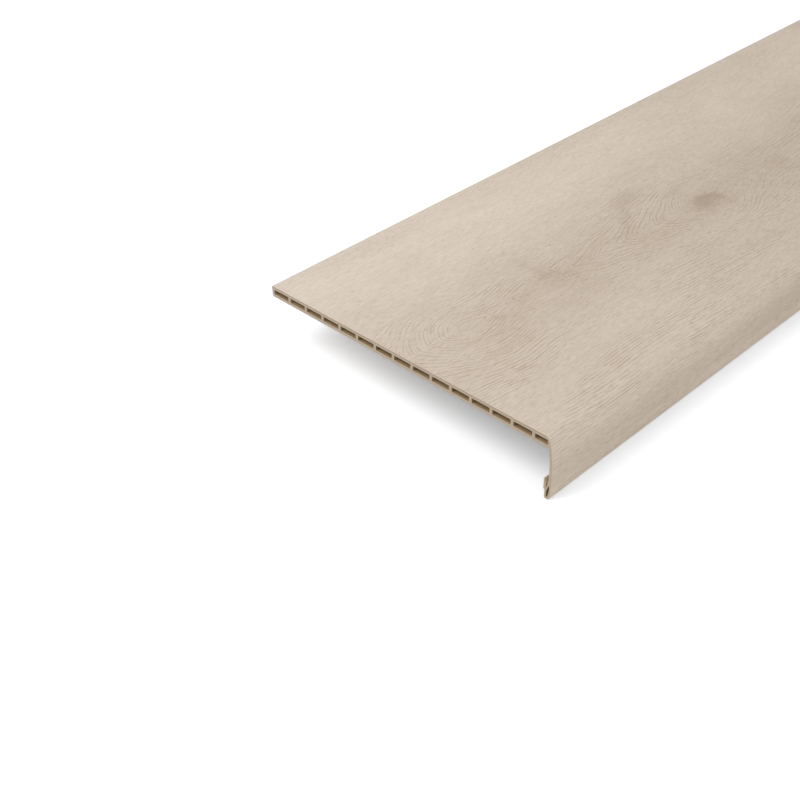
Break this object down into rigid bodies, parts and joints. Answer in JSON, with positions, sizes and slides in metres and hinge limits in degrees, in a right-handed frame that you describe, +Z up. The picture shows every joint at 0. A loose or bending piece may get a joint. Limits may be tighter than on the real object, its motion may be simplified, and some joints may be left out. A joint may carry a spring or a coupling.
{
  "type": "stair tread",
  "caption": "Hollow ribbed panel with a wood-look top that turns down at the front into a nose with a clip hook, laid over an old step as its new tread.",
  "frame": {"origin": "under the middle of the tread, level with the foot of the nose", "axes": "+X along the tread, +Y from the nose to the back edge, +Z up out of the walking face"},
  "size_m": [1, 0.3, 0.056],
  "materials": {
    "decor_board": "matt pale oak decor with embossed grain, plain core at the sawn ends"
  },
  "bodies": {
    "root": {"tread": "decor_board"}
  },
  "joints": []
}
